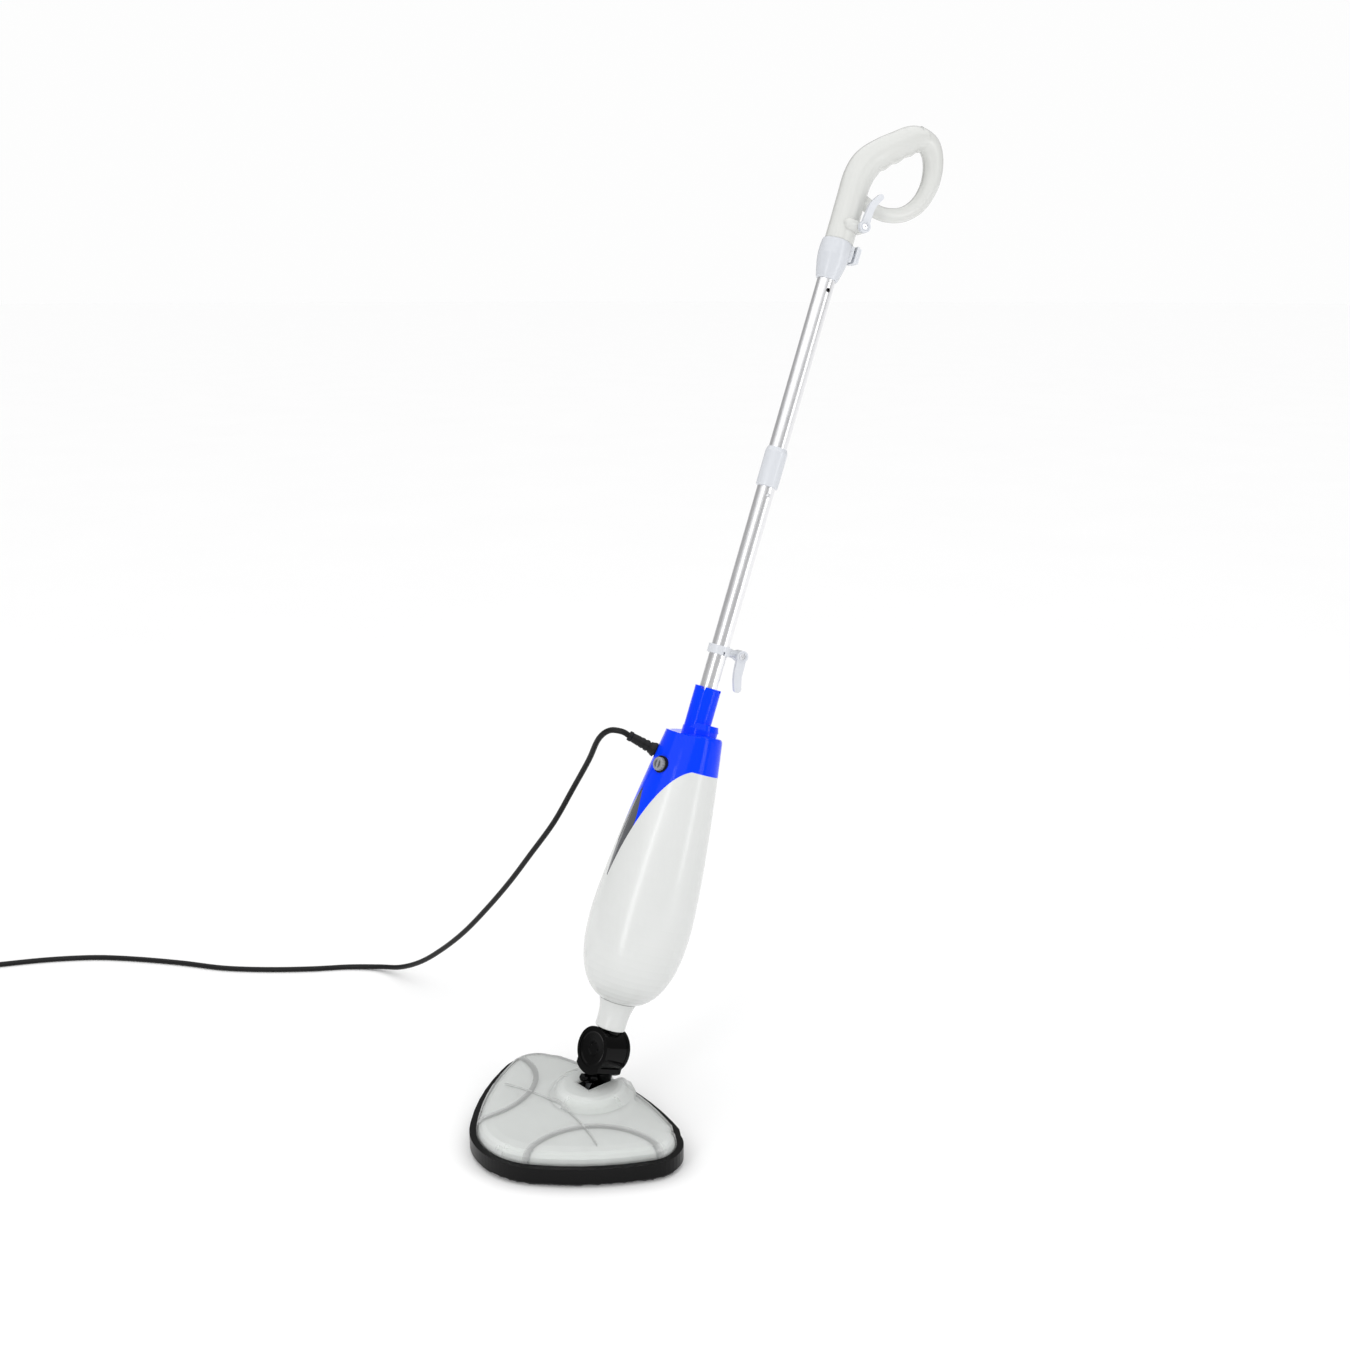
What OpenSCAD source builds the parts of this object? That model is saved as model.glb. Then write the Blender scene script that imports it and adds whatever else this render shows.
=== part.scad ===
// Upright steam mop: a triangular head on a universal joint, a boiler
// housing with a water tank, an aluminium pole and a loop handle.
// Z points up, the floor is z = 0 and the mop's front faces -Y.
// The origin is on the sole, straight below the head's hinge.

/* [Posture] */
// Lean of the mop towards its user, degrees
lean = 21.7; // [0:0.1:35]
// Turn of the housing on its neck swivel, degrees
neck_turn = -20; // [-45:1:45]

/* [Head] */
// Half distance between the centres of the two rear corners
corner_half = 104; // [80:1:130]
// Radius of the rear corners
corner_r = 42; // [30:1:50]
// Distance from the hinge forward to the centre of the front corner
nose_y = 65; // [50:1:90]
// Radius of the front corner
nose_r = 88; // [60:1:95]
// Radius of the bowed long sides
side_bow_r = 320; // [280:5:600]
// Radius of the bowed rear edge
rear_bow_r = 370; // [320:5:700]
// Height of the black pad frame above the floor
frame_top = 23; // [16:0.5:28]
// Thickness of the microfibre pad
pad_h = 6; // [4:0.5:10]
// Height above the floor of the foot of the pole's axis
hinge_z = 41; // [38:0.5:50]
// Wall of the clear cover and of the deck below it
cover_wall = 2; // [1.5:0.1:3]

/* [Swivel joint] */
// Distance of the hinge pin behind the pole's axis
hinge_back = 16; // [0:0.5:20]
// Height of the swivel axle on the pole's axis
swivel_z = 52; // [48:1:64]
// Radius of the swivel's cheeks
cheek_r = 25.5; // [23:0.5:28]
// Length of the swivel over both cheeks
swivel_len = 37; // [35:1:48]
// Radius of the swivel axle
axle_r = 5; // [4:0.25:6]
// Radius of the hinge pin
hinge_pin_r = 3; // [2.5:0.25:4]
// Radius of the yoke's foot
yoke_r = 10.5; // [9:0.5:13]

/* [Housing] */
// Largest radius of the white housing
body_r = 60.3; // [54:0.5:68]
// Height of the widest ring above the hinge
wide_z = 212; // [190:1:235]
// Height of the rounded bottom below the widest ring
dome_h = 104; // [90:1:112]
// Height of the blue shoulder above the hinge
shoulder_z = 432; // [410:1:460]
// Radius of the housing just below the shoulder
shoulder_r = 34; // [30:0.5:40]
// Wall of the shells
wall = 2.5; // [2:0.1:3.5]
// Half angle of the front shell, measured from the front
seam_half = 116; // [95:1:130]
// Height where the white shells end
white_top = 393; // [380:1:400]
// Lowest point of the front opening
opening_low = 236; // [225:1:260]
// Half width of the front opening at its top
opening_half = 42; // [38:0.5:44]
// Height where the blue legs end beside the tank window
leg_low = 314; // [300:1:330]
// Top of the tank window
window_top = 360; // [345:1:368]
// Radius of the neck under the housing
neck_r = 17.8; // [16:0.2:20]

/* [Pole] */
// Outer radius of both tubes
tube_r = 10.75; // [9:0.25:12.5]
// Wall of the tubes
tube_wall = 1.2; // [0.8:0.1:2]
// Top of the blue pole socket above the hinge
socket_top = 491; // [480:1:510]
// Joint between the lower and the upper tube
pole_joint_z = 758; // [700:1:800]
// Lower end of the handle collar
collar_low = 987; // [900:1:1010]
// Travel of the handle on the upper tube
handle_travel = 43; // [20:1:45]

/* [Handle] */
// Length of the collar
collar_len = 46; // [42:1:56]
// Half thickness of the grip from front to back
grip_half = 17.5; // [16:0.5:19]
// Depth of the finger scallops
scallop = 1.6; // [0:0.1:2.5]

/* [Controls] */
// Radius of the steam dial
dial_r = 8; // [7:0.5:11]
// Angle of the dial from the front
dial_angle = 22; // [15:1:40]
// Travel of the handle button and of the head release
button_travel = 3; // [2:0.5:4]

/* [Cord] */
// Diameter of the mains cord
cord_d = 7; // [6:0.5:8]
// Length of the strain relief outside the housing
relief_len = 37; // [30:1:50]
// Upward tilt of the strain relief, degrees
relief_tilt = 13; // [0:1:25]
// Turns that lie side by side in the coil
coil_wide = 4; // [3:1:5]
// Layers of turns in the coil
coil_high = 4; // [3:1:5]

/* [Hidden] */
$fn = 64;

// The hinge pin in the room
pin_y = hinge_back * cos(lean);
pin_z = hinge_z - hinge_back * sin(lean);

// Clearances
run = 0.05;       // running fit, on the radius
side_gap = 0.2;   // between faces that slide past each other
body_gap = 0.5;   // between parts that only pass each other

// Frames: the mop leans about the hinge, and the housing also turns on its neck
module mop() translate([0, 0, hinge_z]) rotate([-lean, 0, 0]) children();
module housing() mop() rotate([0, 0, neck_turn]) children();
// Along a level spoke of the mop, at an angle from its front towards +X
module spoke(angle, z) translate([0, 0, z]) rotate([90, 0, angle]) children();
// Along the mop's front-to-back axis
module fore_aft() rotate([90, 0, 0]) children();
module across() rotate([0, 90, 0]) children();

// A point of the housing's frame, as a point of the room
function in_room(p) =
    let (x = p.x * cos(neck_turn) - p.y * sin(neck_turn),
         y = p.x * sin(neck_turn) + p.y * cos(neck_turn))
    [x, y * cos(lean) + p.z * sin(lean),
     p.z * cos(lean) - y * sin(lean) + hinge_z];
function on_spoke(angle, z, r) = [r * sin(angle), -r * cos(angle), z];

// Points of an arc from angle a0 to a1
function arc(c, r, a0, a1, n) =
    [for (i = [0:n]) let (a = a0 + (a1 - a0) * i / n)
        [c.x + r * cos(a), c.y + r * sin(a)]];
// Smooth curve through rows of numbers, with n steps a row
function bend(a, b, c, d, t) =
    (2 * b + (c - a) * t + (2 * a - 5 * b + 4 * c - d) * t * t
     + (3 * b - a - 3 * c + d) * t * t * t) / 2;
function curve(rows, n) =
    let (last = len(rows) - 1)
    [for (i = [0:last - 1]) for (k = [0:n - 1])
        bend(rows[max(i - 1, 0)], rows[i], rows[i + 1],
             rows[min(i + 2, last)], k / n),
     rows[last]];
function unit(v) = v / norm(v);
// Direction of a path at its point i
function heading(path, i) =
    unit(path[min(i + 1, len(path) - 1)] - path[max(i - 1, 0)]);

// Skins a stack of rings that all have the same number of points and turn
// anticlockwise about the way the stack runs
module skin(rings) {
    n = len(rings[0]);
    top = (len(rings) - 1) * n;
    polyhedron(
        points = [for (ring = rings) for (p = ring) p],
        faces = concat(
            [[for (i = [0:n - 1]) i]],
            [for (k = [0:len(rings) - 2]) for (i = [0:n - 1])
                let (j = (i + 1) % n, a = k * n, b = a + n)
                each [[a + i, b + j, a + j], [a + i, b + i, b + j]]],
            [[for (i = [0:n - 1]) top + n - 1 - i]]),
        convexity = 6);
}

// ---------------------------------------------------------------- head
// The head's outline is six arcs that run into each other. Each bow is an
// arc that touches two corner circles from outside, and a positive grow
// moves the whole outline outwards.
nose = [0, -nose_y];
corner = [corner_half, -4];
rear_bow = [0, -sqrt(pow(rear_bow_r - corner_r, 2) - pow(corner_half, 2))];
// Centre of the right side's bow: where two circles about the corners meet
function meet(a, ra, b, rb) =
    let (d = norm(b - a), u = (b - a) / d,
         along = (d * d + ra * ra - rb * rb) / (2 * d),
         off = sqrt(ra * ra - along * along))
    a + along * u + off * [-u.y, u.x];
side_bow = meet(nose, side_bow_r - nose_r, corner, side_bow_r - corner_r);
function angle_to(a, b) = atan2(b.y - a.y, b.x - a.x);
side_from = angle_to(side_bow, nose);
side_to = angle_to(side_bow, corner);
rear_from = angle_to(rear_bow, corner);
function mirrored(points) =
    [for (i = [len(points) - 1:-1:0]) [-points[i].x, points[i].y]];
function right_half(grow) = concat(
    arc(nose, nose_r + grow, -88, side_from, 10),
    arc(side_bow, side_bow_r + grow, side_from + 2, side_to - 2, 5),
    arc(corner, corner_r + grow, side_to, rear_from, 12),
    arc(rear_bow, rear_bow_r + grow, rear_from + 2, 89, 6));
function outline(grow = 0) =
    concat(right_half(grow), mirrored(right_half(grow)));

// One ring of the head's top: the outline blended into a circle
function head_ring(z, inset, blend, r) =
    [for (p = outline(-inset))
        let (a = atan2(p.y, p.x))
        [p.x * (1 - blend) + r * cos(a) * blend,
         p.y * (1 - blend) + r * sin(a) * blend, z]];
// Height, inset, blend and circle radius of each ring of the cover
hump_r = 44;
// How far in from the frame's edge the cover's rim and the base stand
rim_in = 7.5;
base_in = rim_in + 2.2;
hump_top = hinge_z + 13;
COVER = [
    [frame_top - 1.5, rim_in, 0, hump_r],
    [frame_top + 2.5, rim_in + 0.3, 0, hump_r],
    [frame_top + 7, rim_in + 1.6, 0, hump_r],
    [frame_top + 10.5, rim_in + 4.6, 0, hump_r],
    [frame_top + 12.8, rim_in + 9, 0, hump_r + 22],
    [frame_top + 14.2, 21, 0.08, hump_r + 20],
    [frame_top + 15.6, 27, 0.4, hump_r + 17],
    [frame_top + 17, 30, 0.8, hump_r + 12],
    [frame_top + 18.6, 30, 1, hump_r + 7], [hump_top - 8.5, 30, 1, hump_r + 2],
    [hump_top - 4, 30, 1, hump_r - 2], [hump_top - 1.6, 30, 1, hump_r - 5.5],
    [hump_top - 0.4, 30, 1, hump_r - 10], [hump_top, 30, 1, hump_r - 20]
];
module head_dome(lower = 0, inside = 0)
    skin([for (c = COVER)
        head_ring(c[0] - lower, c[1] + inside, c[2],
                  c[3] - inside)]);
// The slot that the yoke swings in
slot_half = yoke_r + 3;
slot_low = frame_top - 1.5;
module neck_slot() {
    translate([-slot_half, pin_y - 29, slot_low]) cube([2 * slot_half, 71, 60]);
}
deck_lower = cover_wall + 1.2;
deck_inside = cover_wall + 3;

module head_cover() color([0.86, 0.88, 0.88, 0.35]) difference() {
    head_dome();
    head_dome(cover_wall, cover_wall);
    neck_slot();
}

module head_deck() color([0.9, 0.91, 0.91]) difference() {
    head_dome(deck_lower, deck_inside);
    head_dome(deck_lower + 1.8, deck_inside + 1.8);
    neck_slot();
}

// Screw posts of the base
foot_x = corner_half * 0.6;
FOOT_Y = [-44, 22];
plate_z = pad_h + 3;
plate_h = 3.5;
module head_base() color([0.82, 0.83, 0.84]) difference() {
    union() {
        translate([0, 0, plate_z])
            linear_extrude(plate_h) polygon(outline(-base_in));
        for (x = [-1, 1]) for (y = FOOT_Y)
            translate([x * foot_x, y, plate_z]) cylinder(r = 5, h = plate_h + 8);
    }
    for (x = [-1, 1]) for (y = FOOT_Y)
        translate([x * foot_x, y, plate_z - 1]) cylinder(r = 2.05, h = 30);
    for (a = [0:60:300])
        rotate([0, 0, a]) translate([34, 0, plate_z - 1])
            cylinder(r = 1.6, h = plate_h + 2);
    translate([0, 0, plate_z - 1]) cylinder(r = 7.05, h = plate_h + 2);
}

module head_screws() color("silver")
    for (x = [-1, 1]) for (y = FOOT_Y)
        translate([x * foot_x, y, plate_z - 1.8]) {
            difference() {
                cylinder(r = 4, h = 1.8);
                translate([0, 0, -0.1]) cylinder(r = 1.4, h = 1.1, $fn = 6);
            }
            cylinder(r = 2, h = 13);
        }

module steam_nozzle() color("goldenrod") translate([0, 0, plate_z - 2])
    difference() {
        union() {
            cylinder(r = 7, h = plate_h + 4);
            translate([0, 0, plate_h + 2]) cylinder(r = 9, h = 3);
        }
        translate([0, 0, -1]) cylinder(r = 2.5, h = plate_h + 8);
    }

module pad_frame() color([0.07, 0.07, 0.08]) difference() {
    translate([0, 0, pad_h])
        linear_extrude(frame_top - pad_h) polygon(outline());
    translate([0, 0, plate_z])
        linear_extrude(frame_top) polygon(outline(-base_in));
    translate([0, 0, pad_h - 1])
        linear_extrude(frame_top) polygon(outline(-16));
    // rebate for the cover's rim
    translate([0, 0, frame_top - 1.5])
        linear_extrude(frame_top) polygon(outline(0.1 - rim_in));
}

module mop_pad() color([0.1, 0.1, 0.11])
    linear_extrude(pad_h) polygon(outline(-0.6));

// The bracket's two lugs carry the hinge pin
lug_x = yoke_r + side_gap;
lug_w = 9;
module hinge_bracket() color([0.78, 0.79, 0.8]) {
    for (s = [-1, 1]) difference() {
        union() {
            translate([s * (lug_x + lug_w / 2), pin_y, pin_z])
                across() cylinder(r = 9, h = lug_w, center = true);
            translate([s * (lug_x + lug_w / 2) - lug_w / 2, pin_y - 9,
                       plate_z + plate_h])
                cube([lug_w, 18, pin_z - plate_z - plate_h]);
        }
        translate([0, pin_y, pin_z])
            across() cylinder(r = hinge_pin_r, h = 80, center = true);
    }
    translate([-lug_x - lug_w - 6, pin_y - 26, plate_z + plate_h])
        difference() {
            cube([2 * (lug_x + lug_w + 6), 40, 2.5]);
            translate([lug_x + lug_w + 6, 26 - pin_y, -1])
                cylinder(r = 9.2, h = 5);
        }
}

module hinge_pin() color("silver") translate([0, pin_y, pin_z])
    across() cylinder(r = hinge_pin_r, h = 2 * (lug_x + lug_w), center = true);

// -------------------------------------------------------- swivel joint
cheek_w = 4.4;
cheek_in = swivel_len / 2 - cheek_w;
cap_w = 1.4;
bridge_r = cheek_r + 4.5;
release_z = 17;
release_r = 4;
release_face = 13.5;
// The neck slants back from below the swivel to the hinge pin
neck_slant = 19;
module swivel_yoke() mop() color([0.05, 0.05, 0.06]) difference() {
    union() {
        for (s = [-1, 1])
            translate([0, s * (cheek_in + cheek_w / 2), swivel_z])
                fore_aft() cylinder(r = cheek_r, h = cheek_w, center = true);
        // bridge below the hub, joining the cheeks
        intersection() {
            translate([0, 0, swivel_z]) fore_aft()
                cylinder(r = bridge_r, h = swivel_len, center = true);
            translate([-19, -swivel_len / 2, 0])
                cube([38, swivel_len, swivel_z - 17]);
        }
        difference() {
            union() {
                translate([0, hinge_back, 0]) rotate([neck_slant, 0, 0]) {
                    cylinder(r = yoke_r, h = 12);
                    translate([0, 0, 12])
                        cylinder(r1 = yoke_r, r2 = yoke_r + 4.5, h = 24);
                }
                // boss of the head release
                translate([0, 0, release_z]) fore_aft()
                    cylinder(r = release_r + 2.5, h = release_face);
            }
            above(swivel_z - 10);
        }
        translate([0, hinge_back, 0])
            across() cylinder(r = yoke_r, h = 2 * yoke_r, center = true);
    }
    // room for the hub
    translate([0, 0, swivel_z]) fore_aft()
        cylinder(r = cheek_r + body_gap, h = 2 * cheek_in, center = true);
    translate([0, 0, swivel_z]) fore_aft()
        cylinder(r = axle_r, h = 2 * swivel_len, center = true);
    for (s = [-1, 1])
        translate([0, s * (swivel_len / 2 - cap_w / 2), swivel_z])
            fore_aft() cylinder(r = cheek_r - 4, h = 2 * cap_w + 2.4,
                                center = true);
    translate([0, hinge_back, 0])
        across() cylinder(r = hinge_pin_r + run, h = 80, center = true);
    // pocket of the head release
    translate([0, 0, release_z]) fore_aft() {
        cylinder(r = release_r + run, h = release_face + 1);
        translate([0, 0, -6]) cylinder(r = 2.6, h = 10);
    }
}

module swivel_axle() mop() color("silver") translate([0, 0, swivel_z])
    fore_aft() difference() {
        cylinder(r = axle_r, h = swivel_len - 2 * cap_w - 2.4, center = true);
        cylinder(r = axle_r - 1.5, h = swivel_len, center = true);
    }

module axle_caps() mop() color([0.06, 0.06, 0.07])
    for (s = [-1, 1])
        translate([0, s * (swivel_len / 2 - 1.9), swivel_z])
            rotate([-90 * s, 0, 0]) rotate_extrude()
                polygon([[0, -0.2], [cheek_r - 4.05, -0.2],
                         [cheek_r - 4.05, 1.2], [cheek_r - 6, 1.2],
                         [cheek_r - 7.5, 0.6], [8.8, 0.3], [8.2, 1.1],
                         [6.8, 1.1], [6.2, 0.3], [0, 0.3]]);

hub_top = swivel_z + 58;
spigot_r = 13;
module swivel_hub() mop() color([0.06, 0.06, 0.07]) difference() {
    union() {
        translate([0, 0, swivel_z]) fore_aft()
            cylinder(r = cheek_r - 0.5, h = 2 * (cheek_in - side_gap),
                     center = true);
        translate([0, 0, swivel_z]) cylinder(r = spigot_r,
                                             h = hub_top - swivel_z);
    }
    translate([0, 0, swivel_z]) fore_aft()
        cylinder(r = axle_r + run, h = 2 * swivel_len, center = true);
    translate([0, 0, swivel_z + axle_r + 4]) cylinder(r = 3.5, h = 80);
    translate([0, 0, hub_top - 14]) rotate_extrude()
        translate([spigot_r - 1.4, 0]) square([3, 3.4]);
}

module hub_seal() mop() color("dimgray")
    translate([0, 0, hub_top - 12.3]) rotate_extrude()
        translate([spigot_r - 0.9, 0]) circle(r = 0.85, $fn = 24);

module head_release() mop() color([0.06, 0.06, 0.07])
    translate([0, 0, release_z]) fore_aft() {
        difference() {
            union() {
                translate([0, 0, button_travel + 0.6])
                    cylinder(r = release_r, h = release_face);
                translate([0, 0, release_face + button_travel + 0.4])
                    cylinder(r = 4.6, h = 4);
                translate([0, 0, release_face + button_travel + 4.4])
                    cylinder(r1 = 4.6, r2 = 2.8, h = 1.8);
            }
            translate([0, 0, 2]) cylinder(r = 2.6, h = 9);
        }
    }

// A round wire spring along +Z
module coil_spring(r, wire, turns, h)
    skin([for (i = [0:turns * 14])
        let (a = i * 360 / 14, z = wire + (h - 2 * wire) * i / (turns * 14))
        [for (k = [0:60:300])
            [(r + wire * cos(k)) * cos(a), (r + wire * cos(k)) * sin(a),
             z - wire * sin(k)]]]);

module release_spring() mop() color("silver")
    translate([0, 0, release_z]) fore_aft()
        translate([0, 0, button_travel - 4]) coil_spring(1.9, 0.35, 4, 11.5);

// ------------------------------------------------------------- housing
// Outer radius of the housing at a height, shrunk by an inset
dome_power = 2.5;
taper_power = 1.35;
function housing_r(z, inset = 0) =
    z < wide_z
    ? (body_r - inset) * pow(max(0, 1 - pow((wide_z - z) / (dome_h - inset),
                                            dome_power)), 1 / dome_power)
    : body_r - inset - (body_r - shoulder_r)
        * pow((z - wide_z) / (shoulder_z - wide_z), taper_power);
// Height on the rounded bottom where the housing has radius r
function dome_z(r) =
    wide_z - dome_h * pow(1 - pow(r / body_r, dome_power), 1 / dome_power);
module housing_solid(inset = 0, top = shoulder_z) {
    low = wide_z - dome_h + inset;
    dome = [for (i = [0:16]) low + (wide_z - low) * (1 - cos(i * 90 / 16))];
    taper = [for (i = [1:12]) wide_z + (top - wide_z) * i / 12];
    rotate_extrude($fn = 96)
        polygon(concat([for (z = concat(dome, taper))
                            [housing_r(z, inset), z]],
                       [[0, top]]));
}

// Front opening of the white shells, seen from the front
opening_power = 1.52;
function opening_w(z) =
    opening_half * pow((z - opening_low) / (white_top + 7 - opening_low),
                       opening_power);
module front_cut(points) fore_aft() linear_extrude(100)
    polygon(concat(points, mirrored(points)));
module front_opening(gap = 0) front_cut(concat(
    [for (i = [1:10]) let (z = opening_low + (white_top - opening_low) * i / 10)
        [opening_w(z) - gap, z]],
    [[opening_half + 10, white_top], [opening_half + 10, 520]]));
// The tank shows below the blue legs and in a rounded window between them
window_w = opening_w(leg_low);
module tank_window(gap = 0) front_cut(concat(
    [[opening_half + 10, opening_low - 10], [opening_half + 10, leg_low - gap],
     [window_w - gap, leg_low - gap]],
    [for (i = [1:8]) let (t = i / 8)
        [(window_w - gap) * (1 - pow(t, 1.6)) + 0.5, leg_low - gap
         + (window_top - leg_low) * t]]));

module above(z) translate([-100, -100, z]) cube([200, 200, 200]);
module shell_wedge() {
    reach = 140;
    linear_extrude(520)
        polygon(concat([[0, 0]],
            [for (a = [seam_half:8:360 - seam_half])
                [reach * sin(a), -reach * cos(a)]],
            [[-reach * sin(seam_half), -reach * cos(seam_half)]]));
}
shell_hole = neck_r + 3;
module white_shell() difference() {
    housing_solid();
    housing_solid(wall, shoulder_z + 1);
    front_opening();
    above(white_top);
    cylinder(r = shell_hole, h = wide_z);
}
screw_z = [wide_z - 62, white_top - 63];
module screw_places() for (z = screw_z) for (s = [-1, 1])
    spoke(180 + s * 12, z) translate([0, 0, housing_r(z) - 8]) children();

module front_shell() housing() color([0.92, 0.93, 0.92]) difference() {
    white_shell();
    shell_wedge();
}
module rear_shell() housing() color([0.92, 0.93, 0.92]) difference() {
    intersection() {
        white_shell();
        shell_wedge();
    }
    screw_places() translate([0, 0, -30]) cylinder(r = 2.55, h = 100);
}
module case_screws() housing() color("silver") screw_places()
    difference() {
        cylinder(r = 2.5, h = 7);
        translate([0, 0, 6]) cylinder(r = 1.2, h = 2, $fn = 6);
    }

// Blue top housing with the pole socket
socket_r = tube_r + 4.8;
lip = 1.5;
step_top = shoulder_z + 17;
module top_housing() housing() color([0, 0.25, 0.95]) difference() {
    union() {
        difference() {
            union() {
                intersection() {
                    housing_solid();
                    union() {
                        front_opening();
                        above(white_top);
                    }
                }
                // rounded shoulder and its sloping top face
                difference() {
                    translate([0, 0, shoulder_z]) rotate_extrude()
                        polygon([[0, 0], [shoulder_r, 0],
                                 [shoulder_r - 0.6, 2.4],
                                 [shoulder_r - 2.4, 4.4], [0, 8]]);
                    translate([0, 0, shoulder_z + 4]) rotate([11, 0, 0])
                        translate([-60, -60, 0]) cube([120, 120, 20]);
                }
                // raised step behind the socket
                translate([0, 5, shoulder_z]) cylinder(r = 21, h = 10);
                translate([0, 6, shoulder_z + 10])
                    cylinder(r1 = 21, r2 = 19, h = step_top - shoulder_z - 10);
            }
            housing_solid(wall, shoulder_z - wall);
            tank_window();
        }
        cylinder(r = socket_r, h = socket_top);
    }
    // everything of the socket below the shell's roof is cut away
    cylinder(r = socket_r + 1, h = shoulder_z - 62);
    // bore of the lower tube and the notches of the rim
    translate([0, 0, shoulder_z - 60]) cylinder(r = tube_r, h = 300);
    for (a = [45:90:315]) rotate([0, 0, a])
        translate([tube_r - 1, -2.5, socket_top - 3]) cube([9, 5, 6]);
    spoke(dial_angle, dial_z) cylinder(r = dial_r + 2, h = 100);
    relief_line() cylinder(r = 6.2, h = 100);
    spoke(cap_angle, cap_z) cylinder(r = cap_r + run, h = 100);
}

dial_z = white_top - 1.5;
dial_seat = housing_r(dial_z) + 1.8;
bezel_r = dial_r + 2;
module dial_bezel() housing() color([0.1, 0.1, 0.11])
    spoke(dial_angle, dial_z) difference() {
        translate([0, 0, dial_seat - 9]) cylinder(r = bezel_r, h = 9);
        translate([0, 0, dial_seat - 4]) cylinder(r = dial_r + 0.4, h = 10);
        cylinder(r = 3 + run, h = 100);
    }
module steam_dial() housing() color([0.45, 0.46, 0.48])
    spoke(dial_angle, dial_z) difference() {
        union() {
            translate([0, 0, dial_seat - 3.8]) cylinder(r = dial_r, h = 7.2);
            translate([0, 0, dial_seat + 3.4])
                cylinder(r1 = dial_r, r2 = dial_r - 1, h = 1.2);
            translate([0, 0, dial_seat - 16]) cylinder(r = 3, h = 13);
        }
        // dished centre with a finger bar
        difference() {
            translate([0, 0, dial_seat + 2]) cylinder(r = dial_r - 3, h = 5);
            translate([-1.3, -dial_r, dial_seat]) cube([2.6, 2 * dial_r, 4.4]);
        }
        for (a = [0:24:336]) rotate([0, 0, a])
            translate([dial_r + 0.5, 0, dial_seat - 1])
                cylinder(r = 1.1, h = 8, $fn = 16);
    }
module steam_valve() housing() color("dimgray") spoke(dial_angle, dial_z)
    difference() {
        translate([0, 0, dial_seat - 20]) cylinder(r = 7.5, h = 10.8);
        translate([0, 0, dial_seat - 17]) cylinder(r = 3 + run, h = 10);
    }

cap_angle = 212;
cap_z = white_top + 12;
cap_r = 9;
cap_seat = housing_r(cap_z);
module filler_cap() housing() color([0.1, 0.2, 0.6]) spoke(cap_angle, cap_z) {
    translate([0, 0, cap_seat - 8]) cylinder(r = cap_r, h = 10);
    translate([0, 0, cap_seat + 2]) cylinder(r = cap_r + 1.5, h = 2.5);
    translate([-1.5, -cap_r + 1.2, cap_seat + 4.5])
        cube([3, 2 * cap_r - 2.4, 3]);
}

cord_angle = -22;
cord_z = white_top + 10;
relief_root = housing_r(cord_z) - 0.5;
relief_end = relief_root + relief_len;
// Along the strain relief, which tilts up from the wall it stands on
module relief_line() spoke(cord_angle, cord_z)
    translate([0, 0, relief_root - wall]) rotate([-relief_tilt, 0, 0])
        translate([0, 0, wall - relief_root]) children();
module strain_relief() housing() color([0.06, 0.06, 0.07])
    relief_line() {
        difference() {
            rotate_extrude()
                polygon([[0, relief_root - 7], [6.2, relief_root - 7],
                         [6.2, relief_root + 0.6], [8.6, relief_root + 1.4],
                         [8.4, relief_root + 4], [7, relief_root + 7],
                         [5.4, relief_end - 5], [6, relief_end - 4.4],
                         [6, relief_end - 1], [5.4, relief_end],
                         [0, relief_end]]);
            for (i = [0:3]) translate([0, 0, relief_root + 9 + i * 6])
                rotate_extrude() translate([5.7, 0]) square([3, 2]);
        }
    }

// White neck between the shells and the swivel
neck_low = swivel_z + cheek_r + 0.6;
neck_in = dome_z(shell_hole + 1.4) - 0.3;
module neck_socket() housing() color([0.9, 0.91, 0.9]) difference() {
    rotate_extrude()
        polygon(concat(
            [[0, neck_low], [neck_r - 0.6, neck_low],
             [neck_r, neck_low + 0.8]],
            [for (i = [0:8]) let (t = i / 8)
                [neck_r + (shell_hole + 1.4 - neck_r) * t * t,
                 neck_low + 10 + (neck_in - neck_low - 10) * t]],
            [[shell_hole - 0.1, neck_in],
             [shell_hole - 0.1, neck_in + 11], [0, neck_in + 11]]));
    translate([0, 0, neck_low - 1]) cylinder(r = spigot_r + run, h = 60);
}

// Works inside the housing
tank_gap = wall + 0.6;
tank_low = opening_low - 4;
module tank_room(inset) intersection() {
    housing_solid(tank_gap + inset, white_top);
    translate([-43 + inset, -80, tank_low + inset])
        cube([86 - 2 * inset, 72 - inset, window_top + 4 - tank_low
              - 2 * inset]);
}
module water_tank() housing() color([0.25, 0.26, 0.28, 0.6]) difference() {
    union() {
        tank_room(0);
        intersection() {
            housing_solid();
            front_opening(0.15);
            tank_window(0.15);
            translate([-60, -90, opening_low]) cube([120, 70, 140]);
        }
    }
    tank_room(2);
    translate([0, -14, tank_low - 1]) cylinder(r = 2.5, h = 6);
}
module tank_hose() housing() color("ivory") {
    translate([0, -14, inlet_z + 5]) difference() {
        cylinder(r = 2.5, h = tank_low - 3 - inlet_z);
        translate([0, 0, -1]) cylinder(r = 1.5, h = 40);
    }
}
boiler_low = wide_z - 74;
boiler_h = 72;
inlet_z = boiler_low + boiler_h + 2;
module pump() housing() color("dimgray") {
    translate([0, 22, inlet_z + 20]) cylinder(r = 15, h = 46);
    translate([-4, 16, inlet_z + 66]) cube([8, 12, 12]);
    translate([-3, -17, inlet_z]) cube([6, 36, 5]);
    translate([0, 22, inlet_z]) cylinder(r = 5, h = 20);
}
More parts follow.
